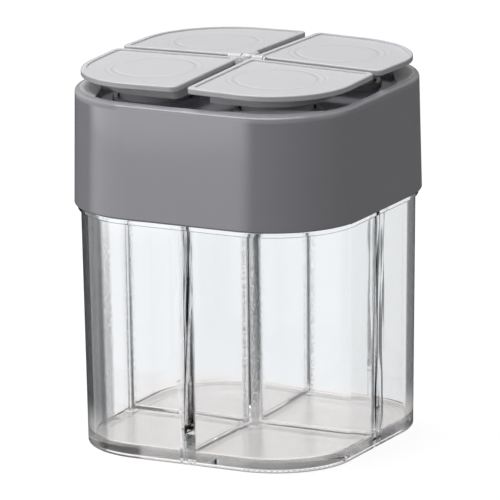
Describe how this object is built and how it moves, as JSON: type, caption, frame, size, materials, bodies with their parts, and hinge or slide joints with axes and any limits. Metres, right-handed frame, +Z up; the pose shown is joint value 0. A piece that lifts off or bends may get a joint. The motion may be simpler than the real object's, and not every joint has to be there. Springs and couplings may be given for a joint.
{
  "type": "spice container set",
  "caption": "Square clear jar divided by a cross wall, with a push-on grey collar cap and petal lids hinged at its centre, each over its own sifter.",
  "frame": {"origin": "centre of the base, on the surface that the jar stands on", "axes": "+Z up; -Y is the front; the dividing walls and the slots between the lids run along X and Y"},
  "size_m": [0.08, 0.08, 0.1018],
  "materials": {
    "clear": "clear, polished",
    "cap_grey": "glossy",
    "lid_grey": "satin gloss",
    "hub_grey": "satin gloss"
  },
  "bodies": {
    "jar": {"jar": "clear"},
    "cap": {"collar_cap": "cap_grey", "hinge_hub": "hub_grey"},
    "lid_back_right": {"lid_back_right": "lid_grey"},
    "lid_back_left": {"lid_back_left": "lid_grey"},
    "lid_front_left": {"lid_front_left": "lid_grey"},
    "lid_front_right": {"lid_front_right": "lid_grey"}
  },
  "joints": [
    {"name": "cap_lift", "type": "slide", "parent": "jar", "child": "cap", "axis": [0, 0, 1], "range_m": [0, 0.04]},
    {"name": "lid_back_right_hinge", "type": "hinge", "parent": "cap", "child": "lid_back_right", "pos_m": [0, 0, 0.1006], "axis": [1, 0, 0], "range_deg": [0, 90]},
    {"name": "lid_back_left_hinge", "type": "hinge", "parent": "cap", "child": "lid_back_left", "pos_m": [0, 0, 0.1006], "axis": [0, 1, 0], "range_deg": [0, 90]},
    {"name": "lid_front_left_hinge", "type": "hinge", "parent": "cap", "child": "lid_front_left", "pos_m": [0, 0, 0.1006], "axis": [-1, 0, 0], "range_deg": [0, 90]},
    {"name": "lid_front_right_hinge", "type": "hinge", "parent": "cap", "child": "lid_front_right", "pos_m": [0, 0, 0.1006], "axis": [0, -1, 0], "range_deg": [0, 90]}
  ]
}
